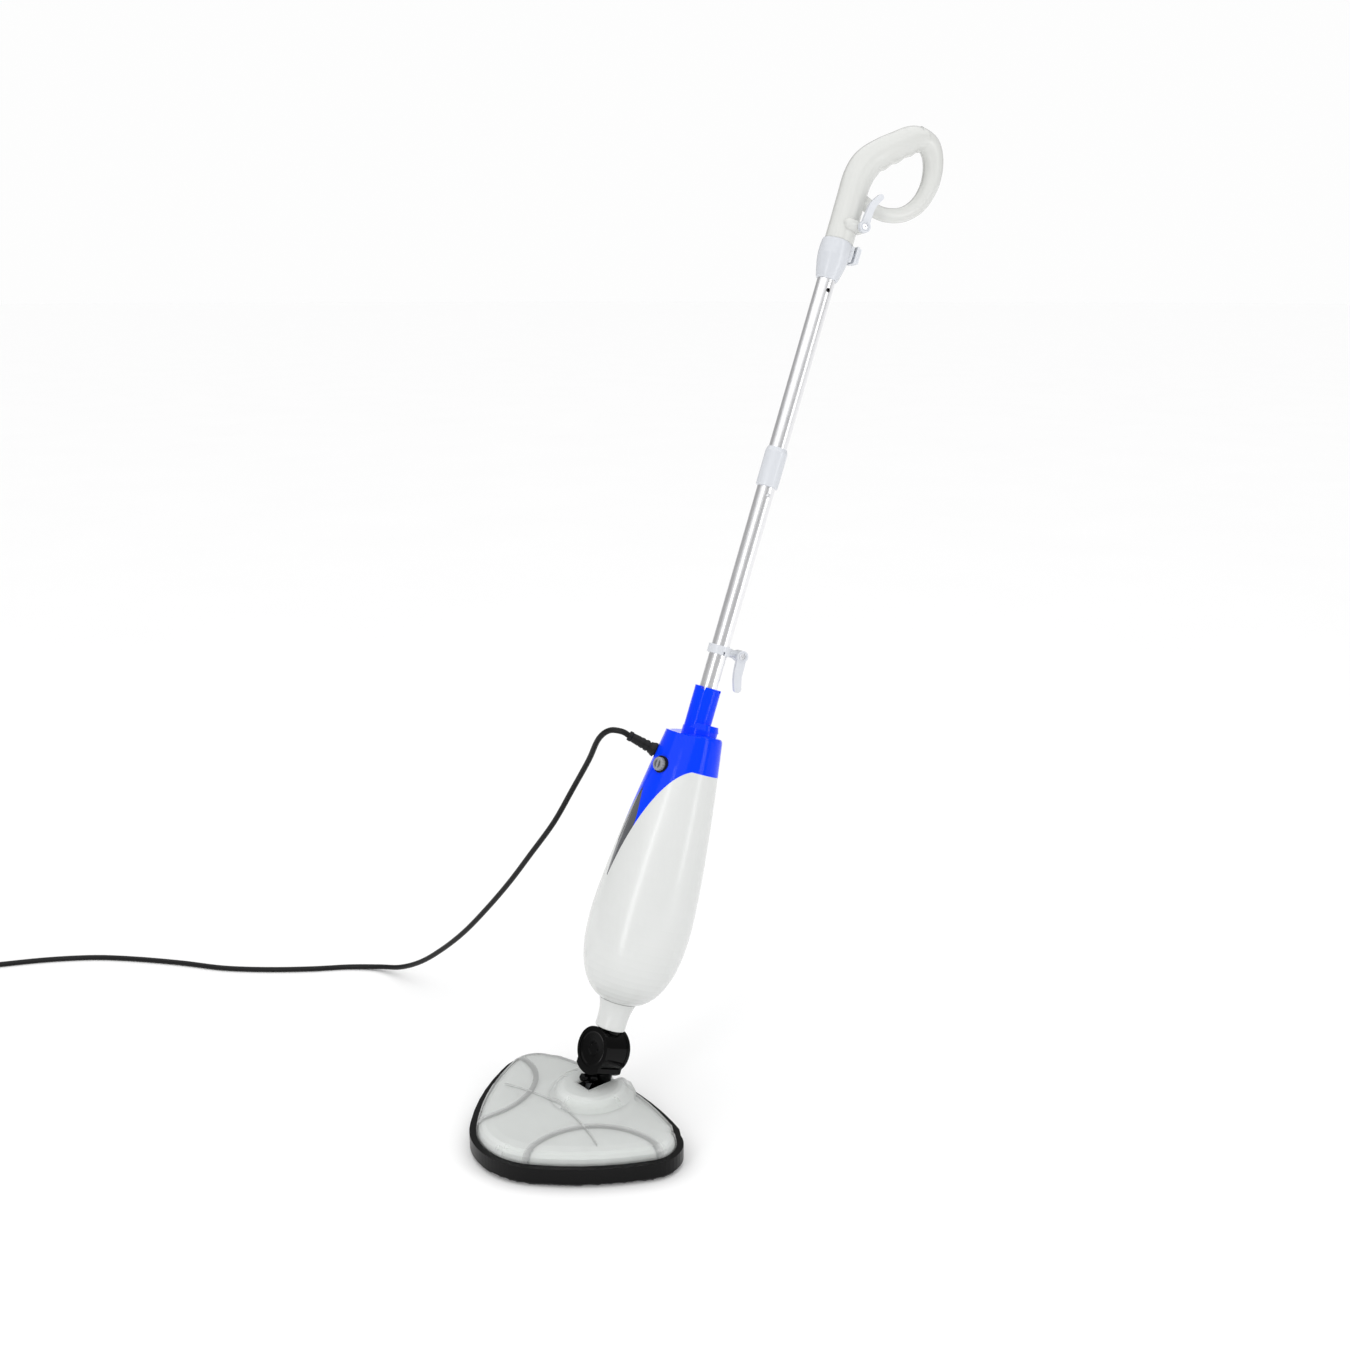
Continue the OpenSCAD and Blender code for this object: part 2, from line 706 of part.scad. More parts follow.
module boiler() housing() color([0.75, 0.76, 0.77]) {
    difference() {
        union() {
            translate([0, 0, boiler_low]) cylinder(r = 33, h = boiler_h);
            for (s = [-1, 1])
                translate([s * 30, 0, boiler_low + 30]) across()
                    cylinder(r = 7, h = 18, center = true);
        }
        translate([0, 0, boiler_low - 1]) cylinder(r = 3, h = 20);
    }
}
module steam_pipe() housing() color("silver")
    translate([0, 0, hub_top - 26]) difference() {
        cylinder(r = 3, h = boiler_low + 12 - hub_top + 26);
        translate([0, 0, -1]) cylinder(r = 2, h = 80);
    }

// ---------------------------------------------------------------- pole
tube_foot = shoulder_z - 60;
tube_top = collar_low + 71;
snap_z = pole_joint_z - 33;
hole_z = collar_low - 13.5;
key_z = collar_low + collar_len - 8;
key_w = 5;
module tube(low, high) difference() {
    translate([0, 0, low]) cylinder(r = tube_r, h = high - low);
    translate([0, 0, low - 1]) cylinder(r = tube_r - tube_wall,
                                        h = high - low + 2);
}
module lower_tube() housing() color([0.75, 0.76, 0.78]) difference() {
    tube(tube_foot, pole_joint_z);
    spoke(90, snap_z) cylinder(r = 2.6, h = 40);
}
module upper_tube() housing() color([0.75, 0.76, 0.78]) difference() {
    tube(pole_joint_z, tube_top);
    spoke(95, hole_z) cylinder(r = 2.6, h = 40);
    // key slot of the handle button
    translate([-key_w / 2 - run, 0, key_z - handle_travel - key_w / 2 - 1])
        cube([key_w + 2 * run, 20, handle_travel + key_w + 2]);
}
module pole_core() housing() color([0.15, 0.15, 0.16]) difference() {
    translate([0, 0, pole_joint_z - 60])
        cylinder(r = tube_r - tube_wall, h = 120);
    translate([0, 0, pole_joint_z - 61]) cylinder(r = 5.5, h = 122);
    spoke(90, snap_z) cylinder(r = 2.5, h = 40);
}
module snap_buttons() housing() color("silver") spoke(90, snap_z) {
    translate([0, 0, 5.6]) cylinder(r = 2.5, h = tube_r - 5.2);
    translate([0, 0, tube_r + 0.4]) cylinder(r1 = 2.5, r2 = 1.4, h = 0.8);
}
sleeve_low = pole_joint_z - 23;
sleeve_len = 47;
sleeve_r = tube_r + 2.5;
module pole_sleeve() housing() color([0.88, 0.89, 0.93])
    translate([0, 0, sleeve_low]) rotate_extrude()
        polygon([[tube_r, 0], [sleeve_r - 0.6, 0], [sleeve_r, 1],
                 [sleeve_r, sleeve_len - 5], [sleeve_r - 1.6, sleeve_len],
                 [tube_r, sleeve_len]]);

// --------------------------------------------------------- cord hooks
// Each hook turns on a screw across the mop. A hook is a hub with a curved
// arm, and the arm's rows hold y, z and half width.
hook_hub_r = 7;
hook_w = 6;
screw_r = 1.6;
module ribbon(rows, thick) {
    path = curve(rows, 5);
    side = function (s) [for (i = [0:len(path) - 1])
        let (h = heading(path, i), d = s * path[i][2])
        [path[i].x - h.y * d, path[i].y + h.x * d]];
    left = side(1);
    right = side(-1);
    tip = path[len(path) - 1];
    rotate([90, 0, 90]) linear_extrude(thick) {
        polygon(concat(left, [for (i = [len(right) - 1:-1:0]) right[i]]));
        translate([tip.x, tip.y]) circle(r = tip[2]);
    }
}
module hook(x, y, z, arm) difference() {
    union() {
        translate([x, y, z]) across() cylinder(r = hook_hub_r, h = hook_w);
        translate([x + 0.6, y, z]) ribbon(arm, hook_w - 1.2);
    }
    translate([x - 1, y, z]) across() cylinder(r = screw_r + run, h = 20);
    translate([x + hook_w - 2.6, y, z]) across()
        cylinder(r = 3.4, h = 4);
    // shallow ring round the screw
    translate([x + hook_w - 0.5, y, z]) across() difference() {
        cylinder(r = 5.2, h = 2);
        translate([0, 0, -1]) cylinder(r = 4.5, h = 4);
    }
}
module hook_screw(x, y, z) translate([x - 6, y, z]) across() {
    cylinder(r = screw_r, h = hook_w + 3.6);
    translate([0, 0, hook_w + 3.5]) difference() {
        cylinder(r = 3.2, h = 1.7);
        translate([0, 0, 0.8]) cylinder(r = 1.2, h = 2, $fn = 6);
    }
}

low_hook_z = socket_top + 46;
low_hook_y = tube_r + 18.25;
low_hook_x = 0;
module lower_hook_clamp() housing() color([0.88, 0.89, 0.92])
    difference() {
        union() {
            translate([0, 0, low_hook_z - 5.2])
                cylinder(r = tube_r + 3, h = 10.4);
            translate([low_hook_x - side_gap - 5, 8, low_hook_z])
                rotate([-90, 0, 0]) cylinder(r = 5, h = low_hook_y - 8);
            translate([low_hook_x - side_gap, low_hook_y, low_hook_z])
                rotate([0, -90, 0]) cylinder(r = hook_hub_r, h = 10);
        }
        cylinder(r = tube_r, h = 2000);
        // slit of the clamp
        translate([tube_r - 2, 4, low_hook_z - 6]) rotate([0, 0, -40])
            cube([9, 1.6, 5]);
        translate([low_hook_x - 8, low_hook_y, low_hook_z]) across()
            cylinder(r = screw_r, h = 20);
    }
module lower_hook_screw() housing() color("silver")
    hook_screw(low_hook_x, low_hook_y, low_hook_z);
module lower_hook() housing() color([0.88, 0.89, 0.92])
    hook(low_hook_x, low_hook_y, low_hook_z,
         [[0, 0, 5.6], [0.5, -13, 5.6], [1.6, -25, 5], [5.5, -38, 4.6]]);

// -------------------------------------------------------------- handle
// Rows of the grip and of the loop: y, z, half thickness, half width
grip_low = collar_low + collar_len;
GRIP = [
    [1.5, grip_low, grip_half, 16.5], [1.5, grip_low + 25, grip_half, 16.3],
    [1.2, grip_low + 53, grip_half, 16],
    [2, grip_low + 78, grip_half + 0.6, 16],
    [8, grip_low + 98, grip_half + 1, 16.3],
    [22.5, grip_low + 116, grip_half + 0.6, 16.5],
    [40, grip_low + 132.5, grip_half, 16],
    [57, grip_low + 147.5, grip_half - 1, 15],
    [72, grip_low + 153.5, grip_half - 4, 14]
];
LOOP = [
    [61, grip_low + 152.5, 14, 13.6], [80, grip_low + 149.5, 13.4, 13],
    [92, grip_low + 132, 12.2, 12], [95.2, grip_low + 105.5, 11, 11.5],
    [88, grip_low + 80, 10, 11], [72.5, grip_low + 62, 9, 10.2],
    [52, grip_low + 53, 8.4, 9.6], [33, grip_low + 52, 8, 9],
    [14, grip_low + 57, 7.6, 8.4]
];
GRIP_SCREWS = [[19, grip_low + 111], [66, grip_low + 151],
               [74, grip_low + 64]];
sections = 24;
// An oval ring round row r of a path in the plane of the loop; dip is how
// deep the finger scallops are there
function oval(r, h, dip) =
    [for (k = [0:sections - 1]) let (a = 360 * k / sections,
            p = r[2] - dip * max(0, cos(a)))
        [-r[3] * sin(a), r.x + p * cos(a) * h.y, r.y - p * cos(a) * h.x]];
function dips(t) = t > 0.5 && t < 0.93
    ? scallop * (1 - cos((t - 0.5) / 0.43 * 1440)) / 2 : 0;
module grip_sweep(rows, dipped) {
    path = curve(rows, dipped ? 8 : 6);
    skin([for (i = [0:len(path) - 1])
        oval(path[i], heading(path, i),
             dipped ? dips(i / (len(path) - 1)) : 0)]);
}
up_hook_z = grip_low + 20.5;
up_hook_y = 16;
up_hook_x = 22;
module grip_solid() difference() {
    union() {
        grip_sweep(GRIP, true);
        grip_sweep(LOOP, false);
    }
    translate([0, 0, collar_low]) cylinder(r = tube_r + run,
                                           h = tube_top + handle_travel + 6
                                               - collar_low);
    for (p = GRIP_SCREWS) translate([-40, p.x, p.y]) across() {
        cylinder(r = 1.9, h = 48);
        cylinder(r = 3.6, h = 34);
    }
}
module right_of(x) translate([x, -100, 0]) cube([100, 300, 2000]);
module grip_left() housing() color([0.93, 0.93, 0.92]) difference() {
    grip_solid();
    right_of(0);
}
module grip_right() housing() color([0.93, 0.93, 0.92]) {
    difference() {
        union() {
            intersection() {
                grip_solid();
                right_of(0);
            }
            // raised bar that carries the upper hook
            difference() {
                union() {
                    translate([15, 1, up_hook_z]) rotate([-90, 0, 0])
                        cylinder(r = 6.8, h = up_hook_y - 1);
                    translate([15, 1, up_hook_z]) sphere(r = 6.8);
                    translate([9.4, up_hook_y, up_hook_z]) across()
                        cylinder(r = hook_hub_r,
                                 h = up_hook_x - side_gap - 9.4);
                }
                cylinder(r = tube_r + 2, h = 2000);
            }
        }
        translate([up_hook_x - 10, up_hook_y, up_hook_z]) across()
            cylinder(r = screw_r, h = 20);
    }
}
module grip_screws() housing() color("silver")
    for (p = GRIP_SCREWS)
        translate([-7.5, p.x, p.y]) across() {
            translate([0, 0, 1.5]) cylinder(r = 1.8, h = 12);
            difference() {
                cylinder(r = 3.4, h = 1.5);
                translate([0, 0, -0.1]) cylinder(r = 1.2, h = 1, $fn = 6);
            }
        }
module upper_hook_screw() housing() color("silver")
    hook_screw(up_hook_x, up_hook_y, up_hook_z);
module upper_hook() housing() color([0.88, 0.89, 0.92])
    hook(up_hook_x, up_hook_y, up_hook_z,
         [[0, 0, 5], [0.8, 15, 4.4], [3, 28, 4], [9.5, 39, 3.6]]);

// Collar with the boss of the handle button
boss_y = tube_r + 9.25;
boss_half = 8.5;
module handle_collar() housing() color([0.87, 0.88, 0.93]) difference() {
    union() {
        translate([0, 0, collar_low]) rotate_extrude()
            polygon([[0, 0], [tube_r + 1.65, 0], [tube_r + 2.45, 1],
                     [tube_r + 4.45, 9], [tube_r + 6.65, 19],
                     [tube_r + 7.85, 28], [tube_r + 7.95, collar_len - 10],
                     [tube_r + 7.45, collar_len - 2],
                     [tube_r + 6.75, collar_len], [0, collar_len]]);
        translate([-boss_half, 0, key_z - 10])
            cube([2 * boss_half, boss_y, collar_len - 28]);
    }
    cylinder(r = tube_r + run, h = 2000);
    translate([0, 0, key_z]) rotate([-90, 0, 0]) cylinder(r = 2.5 + run,
                                                          h = 40);
    // pocket of the button's stem and spring
    translate([0, boss_y - 6, key_z]) rotate([-90, 0, 0]) cylinder(r = 5 + run,
                                                           h = 40);
}
module handle_button() housing() color([0.86, 0.87, 0.92])
    translate([0, 0, key_z]) rotate([-90, 0, 0]) difference() {
        union() {
            translate([0, 0, tube_r - 1.55]) cylinder(r = 2.5, h = 10);
            translate([0, 0, boss_y - 2.6]) cylinder(r = 5, h = 8);
            translate([-boss_half, -10, boss_y + button_travel + 0.4])
                cube([2 * boss_half, 20, 3]);
            translate([-boss_half + 1, -9, boss_y + button_travel + 3.4])
                cube([2 * boss_half - 2, 18, 3.4]);
        }
        // seat of the spring round the pin
        translate([0, 0, boss_y - 3]) difference() {
            cylinder(r = 4.2, h = 4);
            translate([0, 0, -1]) cylinder(r = 2.5, h = 6);
        }
    }
module button_spring() housing() color("silver")
    translate([0, boss_y - 5.9 + button_travel, key_z]) rotate([-90, 0, 0])
        coil_spring(3.4, 0.35, 4, 3.8);

// ---------------------------------------------------------------- cord
// The route leaves the strain relief in line with it, hangs down to the
// floor and runs to the coil. Points are in the room's frame.
function on_relief(r) =
    let (out = r - relief_root + wall)
    in_room(on_spoke(cord_angle, cord_z + out * sin(relief_tilt),
                     relief_root - wall + out * cos(relief_tilt)));
exit_point = on_relief(relief_end);
exit_heading = unit(exit_point - on_relief(relief_root));
floor_z = cord_d / 2;
ROUTE = [
    exit_point, exit_point + 9 * exit_heading,
    [-69, 88, 448], [-86, 85, 434], [-109, 88, 402], [-141, 88, 358], [-175, 83, 306],
    [-216, 76, 254], [-258, 70, 203], [-302, 63, 154], [-346, 56, 109],
    [-392, 50, 70], [-438, 43, 37], [-482, 35, 15], [-520, 22, 6],
    [-553, -8, floor_z], [-583, -52, floor_z], [-622, -100, floor_z],
    [-668, -145, floor_z], [-722, -182, floor_z], [-778, -226, floor_z],
    [-824, -270, floor_z], [-862, -325, floor_z], [-891, -382, floor_z],
    [-912, -426, floor_z], [-925, -466, floor_z]
];
cord_path = curve(ROUTE, 3);
coil_mid_r = 40;
// The cord runs into the outermost turn, which winds clockwise
coil_out_r = coil_mid_r + (coil_wide - 1) / 2 * cord_d;
arrival = heading(cord_path, len(cord_path) - 1);
arrival_point = cord_path[len(cord_path) - 1];
coil_centre = arrival_point + (coil_out_r + 0.5) * [arrival.y, -arrival.x, 0];
module power_cord() color([0.05, 0.05, 0.06]) {
    // two directions across the path at point i
    across_a = function (h) unit(cross(h, [0.3, 0.2, 1]));
    // it ends where it meets the coil's outside
    skin([for (i = [0:len(cord_path) - 3])
        let (h = i == 0 ? exit_heading : heading(cord_path, i),
             u = across_a(h), v = cross(h, u))
        [for (k = [0:9]) let (a = 36 * k)
            cord_path[i] + cord_d / 2 * (cos(a) * u + sin(a) * v)]]);
}
module cord_coil() color([0.05, 0.05, 0.06])
    translate([coil_centre.x, coil_centre.y, 0]) rotate_extrude()
        translate([coil_mid_r - coil_wide * cord_d / 2, 0])
            square([coil_wide * cord_d, coil_high * cord_d]);

// The plug lies across the coil, in line with the top turn
plug_r = 13;
plug_turn = 60;
module plug_place() translate([coil_centre.x, coil_centre.y,
                               coil_high * cord_d + plug_r])
    rotate([0, 0, plug_turn]) translate([-28, 34, 0]) across() children();
module plug_body() color([0.06, 0.06, 0.07]) plug_place() {
    cylinder(r = 4.5, h = 14);
    translate([0, 0, 14]) cylinder(r1 = 5, r2 = plug_r, h = 12);
    translate([0, 0, 26]) cylinder(r = plug_r, h = 30);
}
module plug_pins() color("silver") plug_place()
    for (s = [-1, 1]) translate([0, s * 8, 56]) cylinder(r = 2.4, h = 19);

front_shell();
rear_shell();
top_housing();
neck_socket();
water_tank();
filler_cap();
tank_hose();
pump();
boiler();
steam_valve();
steam_pipe();
dial_bezel();
steam_dial();
strain_relief();
power_cord();
cord_coil();
plug_body();
plug_pins();
case_screws();
lower_tube();
pole_core();
snap_buttons();
pole_sleeve();
upper_tube();
lower_hook_clamp();
lower_hook_screw();
lower_hook();
grip_left();
grip_right();
grip_screws();
handle_collar();
upper_hook_screw();
upper_hook();
handle_button();
button_spring();
swivel_hub();
hub_seal();
swivel_yoke();
swivel_axle();
axle_caps();
head_release();
release_spring();
hinge_pin();
hinge_bracket();
head_base();
head_deck();
head_cover();
pad_frame();
mop_pad();
head_screws();
steam_nozzle();
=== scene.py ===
"""Looks for the upright steam mop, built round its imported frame."""

import math

import bmesh
import bpy
from mathutils import Matrix, Vector


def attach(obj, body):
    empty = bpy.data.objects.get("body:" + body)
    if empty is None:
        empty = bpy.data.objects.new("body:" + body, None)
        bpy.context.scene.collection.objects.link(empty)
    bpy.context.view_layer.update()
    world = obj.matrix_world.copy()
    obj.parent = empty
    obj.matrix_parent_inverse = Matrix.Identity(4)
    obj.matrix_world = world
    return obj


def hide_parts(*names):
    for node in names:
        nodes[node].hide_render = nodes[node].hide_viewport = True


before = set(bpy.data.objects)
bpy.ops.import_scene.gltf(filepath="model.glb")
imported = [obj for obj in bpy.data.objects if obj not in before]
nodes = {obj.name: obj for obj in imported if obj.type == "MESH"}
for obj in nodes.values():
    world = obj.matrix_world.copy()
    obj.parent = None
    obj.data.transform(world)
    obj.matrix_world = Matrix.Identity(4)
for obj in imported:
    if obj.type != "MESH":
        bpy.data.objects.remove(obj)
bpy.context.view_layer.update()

MM = 0.001
LEAN = math.radians(21.7)        # of the mop towards its user
NECK_TURN = math.radians(-20)    # of the housing on its neck
HINGE_Z = 41 * MM

# The mop's and the housing's own frames, as matrices into the room
MOP = Matrix.Translation((0, 0, HINGE_Z)) @ Matrix.Rotation(-LEAN, 4, "X")
HOUSING = MOP @ Matrix.Rotation(NECK_TURN, 4, "Z")


def on_spoke(angle, height, radius):
    """A point of the housing's frame, at an angle from its front towards +X (degrees, mm)."""
    a = math.radians(angle)
    return Vector((radius * math.sin(a), -radius * math.cos(a), height)) * MM


# ------------------------------------------------------------------ camera
CAMERA_AWAY, CAMERA_HEIGHT = 1.6, 0.962
CAMERA_AROUND = math.radians(52.3)    # round the pole's foot, from the front towards +X
CAMERA_HEADING = math.radians(48.8)   # from +Y towards -X
CAMERA_DOWN = math.radians(14.67)
CAMERA_SENSOR, CAMERA_LENS = 36, 40.6


def set_camera():
    data = bpy.data.cameras.new("camera")
    camera = bpy.data.objects.new("camera", data)
    bpy.context.collection.objects.link(camera)
    camera.location = (CAMERA_AWAY * math.sin(CAMERA_AROUND),
                       -CAMERA_AWAY * math.cos(CAMERA_AROUND), CAMERA_HEIGHT)
    ahead = Vector((-math.sin(CAMERA_HEADING) * math.cos(CAMERA_DOWN),
                    math.cos(CAMERA_HEADING) * math.cos(CAMERA_DOWN), -math.sin(CAMERA_DOWN)))
    camera.rotation_euler = ahead.to_track_quat("-Z", "Y").to_euler()
    data.sensor_width = CAMERA_SENSOR
    data.lens = CAMERA_LENS
    bpy.context.scene.camera = camera


set_camera()


# ------------------------------------------------------------- small maths
def bend(a, b, c, d, t):
    """Smooth curve from b to c, given their neighbours."""
    return (2 * b + (c - a) * t + (2 * a - 5 * b + 4 * c - d) * t * t
            + (3 * b - a - 3 * c + d) * t ** 3) / 2


def smooth(points, steps):
    """A smooth line through the points, with so many steps to a span."""
    points = [Vector(p) for p in points]
    last = len(points) - 1
    line = []
    for i in range(last):
        for k in range(steps):
            line.append(bend(points[max(i - 1, 0)], points[i], points[i + 1],
                             points[min(i + 2, last)], k / steps))
    return line + [points[last]]


def run_length(line):
    return sum((b - a).length for a, b in zip(line, line[1:]))


# -------------------------------------------------------------- materials
class Value:
    """A shader socket that Python's own operators work on."""

    def __init__(self, look, socket):
        self.look, self.socket = look, socket

    def _with(self, operation, *terms):
        return self.look.node("ShaderNodeMath", {"operation": operation},
                              dict(enumerate(terms)))

    def __add__(self, other):
        return self._with("ADD", self, other)

    def __radd__(self, other):
        return self._with("ADD", other, self)

    def __sub__(self, other):
        return self._with("SUBTRACT", self, other)

    def __rsub__(self, other):
        return self._with("SUBTRACT", other, self)

    def __mul__(self, other):
        return self._with("MULTIPLY", self, other)

    def __pow__(self, other):
        return self._with("POWER", self, other)

    def below(self, limit):
        return self._with("LESS_THAN", self, limit)

    def size(self):
        return self._with("ABSOLUTE", self)


class Look:
    """One material: a Principled shader and what varies over its surface."""

    def __init__(self, name, **fixed):
        self.material = bpy.data.materials.new(name)
        self.material.use_nodes = True
        self.tree = self.material.node_tree
        self.tree.nodes.clear()
        self.surface = self.tree.nodes.new("ShaderNodeBsdfPrincipled")
        self.output = self.tree.nodes.new("ShaderNodeOutputMaterial")
        self.tree.links.new(self.surface.outputs[0], self.output.inputs[0])
        for key, value in fixed.items():
            self.surface.inputs[key.replace("_", " ")].default_value = value

    def node(self, kind, settings=None, inputs=None, output=0):
        """Adds a node: its settings first, then the values or links of its sockets."""
        made = self.tree.nodes.new(kind)
        for key, value in (settings or {}).items():
            setattr(made, key, value)
        for key, value in (inputs or {}).items():
            if isinstance(value, Value):
                self.tree.links.new(value.socket, made.inputs[key])
            else:
                made.inputs[key].default_value = value
        return Value(self, made.outputs[output])

    def place(self, scale=(1, 1, 1), along_pole=False):
        """Where a point is on the piece, in metres, turned upright with the housing."""
        point = self.node("ShaderNodeTexCoord", output=3)
        if along_pole:
            point = self.node("ShaderNodeMapping", None, {
                "Vector": point, "Rotation": (LEAN, 0, -NECK_TURN)})
        return self.node("ShaderNodeMapping", None, {"Vector": point, "Scale": scale})

    def grain(self, scale, detail=2.0, rough=0.5, stretch=(1, 1, 1), along_pole=False):
        """Soft noise from 0 to 1 with so many cells to a metre."""
        return self.node("ShaderNodeTexNoise", None, {
            "Vector": self.place(stretch, along_pole), "Scale": scale, "Detail": detail,
            "Roughness": rough})

    def mix(self, factor, first, second):
        return self.node("ShaderNodeMix", {"data_type": "RGBA"},
                         {0: factor, 6: first, 7: second}, output=2)

    def colour(self, value):
        self._feed("Base Color", value)

    def roughness(self, value):
        self._feed("Roughness", value)

    def relief(self, height, depth, strength, rounded=0.0):
        """Bumps of that depth in metres, over facets rounded off to that radius."""
        inputs = {"Height": height, "Distance": depth, "Strength": strength}
        if rounded:
            inputs["Normal"] = self.node("ShaderNodeBevel", {"samples": 6}, {"Radius": rounded})
        self._feed("Normal", self.node("ShaderNodeBump", None, inputs))

    def _feed(self, name, value):
        self.tree.links.new(value.socket, self.surface.inputs[name])


def rgb(*levels):
    """A colour given in 0-255 screen levels."""
    return tuple(pow(c / 255, 2.2) for c in levels)


def moulded(name, light, dark, rough=0.2, rough_span=0.12, coat=0.4, shine=0.5, rounded=0.0):
    """Glossy moulded plastic: cloudy in colour, smudged in gloss, with a faint moulded skin."""
    look = Look(name, Coat_Weight=coat, Coat_Roughness=0.06, Specular_IOR_Level=shine)
    cloud = look.grain(9, 3, 0.55)
    look.colour(look.mix(cloud, (*dark, 1), (*light, 1)))
    smudge = look.grain(38, 4, 0.62, stretch=(1, 1, 0.55))
    look.roughness(smudge * rough_span + (rough - rough_span / 2))
    pores = look.grain(1400, 2, 0.5)
    ripple = look.grain(55, 1, 0.4)
    look.relief(ripple * 0.8 + pores * 0.2, 0.00008, 0.5, rounded)
    return look


# Arcs drawn on the head: two broad bands, mirrored in X, and a fine parting line
BAND_X, BAND_Y, BAND_R = 125 * MM, -95 * MM, 86 * MM
BAND_HALF = 3.2 * MM
PARTING_Y, PARTING_R = -307 * MM, 261 * MM
PARTING_HALF = 0.9 * MM
PARTING_REACH = 88 * MM          # each side of the middle


def head_bands(look):
    """1 on the head's two broad bands and on its fine parting line, 0 elsewhere."""
    spot = look.place()
    x, y = (look.node("ShaderNodeSeparateXYZ", None, {"Vector": spot}, output=k) for k in (0, 1))
    side = x.size() - BAND_X
    round_corner = (side * side + (y - BAND_Y) * (y - BAND_Y)) ** 0.5
    in_band = (round_corner - BAND_R).size().below(BAND_HALF)
    to_parting = (x * x + (y - PARTING_Y) * (y - PARTING_Y)) ** 0.5
    on_line = (to_parting - PARTING_R).size().below(PARTING_HALF)
    return in_band + on_line * x.size().below(PARTING_REACH)


def deck_plastic(name, light, dark, band):
    """White plastic with the bands and the parting line drawn on it."""
    look = Look(name, Specular_IOR_Level=0.3)
    cloud = look.grain(14, 3, 0.55)
    plain = look.mix(cloud, (*dark, 1), (*light, 1))
    drawn = head_bands(look)
    look.colour(look.mix(drawn, plain, (*band, 1)))
    look.roughness(cloud * 0.12 + 0.38)
    look.relief(look.grain(50, 1, 0.4) * 0.3 + drawn, 0.0003, 0.5)
    return look


def brushed_with_painted_reflection(name, light, dark, rough=0.27):
    """Drawn tube: fine streaks along the pole, broken into short lengths, as the tube's own
    grain; the broad light and dark streaks laid over them are painted reflection.
    """
    look = Look(name, Metallic=1.0)
    fine = look.grain(1, 3, 0.6, stretch=(2600, 2600, 9), along_pole=True)
    # broad light and dark streaks along the pole: painted reflection, not the tube's own grain
    broad = look.grain(1, 2, 0.5, stretch=(190, 190, 2.2), along_pole=True)
    smear = look.grain(34, 3, 0.6)
    # colour of the tube: real fine grain mixed with painted reflection streaks
    streaks_and_painted_reflection = fine * 0.6 + broad * 0.4
    look.colour(look.mix(streaks_and_painted_reflection, (*dark, 1), (*light, 1)))
    look.roughness(fine * 0.16 + smear * 0.08 + (rough - 0.1))
    look.relief(fine, 0.00003, 0.55)
    return look


def textured(name, light, dark, rough=0.55, cell=900, depth=0.00012):
    """Spark-eroded black plastic: a fine pebbled skin that catches the light, with painted shade
    in its pits and painted highlight on its ridges.
    """
    look = Look(name, Specular_IOR_Level=0.16)
    pebble_and_painted_shade = look.node("ShaderNodeTexVoronoi", {"feature": "F1"},
                       {"Vector": look.place(), "Scale": cell})
    cloud = look.grain(26, 4, 0.6)
    # lighter on the pebbles' ridges and darker in their pits: painted highlight and painted
    # shade over the random cloud
    look.colour(look.mix(cloud * 0.7 + pebble_and_painted_shade * 0.3, (*dark, 1), (*light, 1)))
    look.roughness(cloud * 0.14 + (rough - 0.07))
    look.relief(pebble_and_painted_shade + look.grain(cell * 2.3, 2, 0.5) * 0.5, depth, 0.5)
    return look


def rubbery(name, light, dark, rough=0.5):
    look = Look(name, Specular_IOR_Level=0.25)
    cloud = look.grain(60, 4, 0.6)
    look.colour(look.mix(cloud, (*dark, 1), (*light, 1)))
    look.roughness(cloud * 0.2 + (rough - 0.1))
    look.relief(look.grain(1800, 3, 0.6), 0.00004, 0.5)
    return look


def bright_metal(name, light, dark, rough=0.25):
    look = Look(name, Metallic=1.0)
    cloud = look.grain(300, 4, 0.6)
    look.colour(look.mix(cloud, (*dark, 1), (*light, 1)))
    look.roughness(cloud * 0.18 + (rough - 0.09))
    look.relief(look.grain(2200, 2, 0.5), 0.00002, 0.4)
    return look


def clear_plastic(name, tint, film=0.1):
    """Clear moulded cover: see-through, with its gloss and the head's bands on top."""
    look = Look(name, Roughness=0.04, IOR=1.5, Coat_Weight=0.5, Coat_Roughness=0.03)
    haze = look.grain(24, 3, 0.6)
    bands = head_bands(look)
    plain = look.mix(haze, (*tint, 1), (*[c * 0.92 for c in tint], 1))
    look.colour(look.mix(bands, plain, (*[c * 0.62 for c in tint], 1)))
    look.relief(look.grain(30, 1, 0.4), 0.0002, 0.35)
    clear = look.tree.nodes.new("ShaderNodeBsdfTransparent")
    clear.inputs[0].default_value = (0.98, 0.985, 0.985, 1)
    facing = look.node("ShaderNodeFresnel", None, {"IOR": 1.5})
    share = look.tree.nodes.new("ShaderNodeMixShader")
    look.tree.links.new((facing * 0.8 + haze * 0.04 + bands * 0.3 + film).socket,
                        share.inputs[0])
    look.tree.links.new(clear.outputs[0], share.inputs[1])
    look.tree.links.new(look.surface.outputs[0], share.inputs[2])
    look.tree.links.new(share.outputs[0], look.output.inputs[0])
    return look


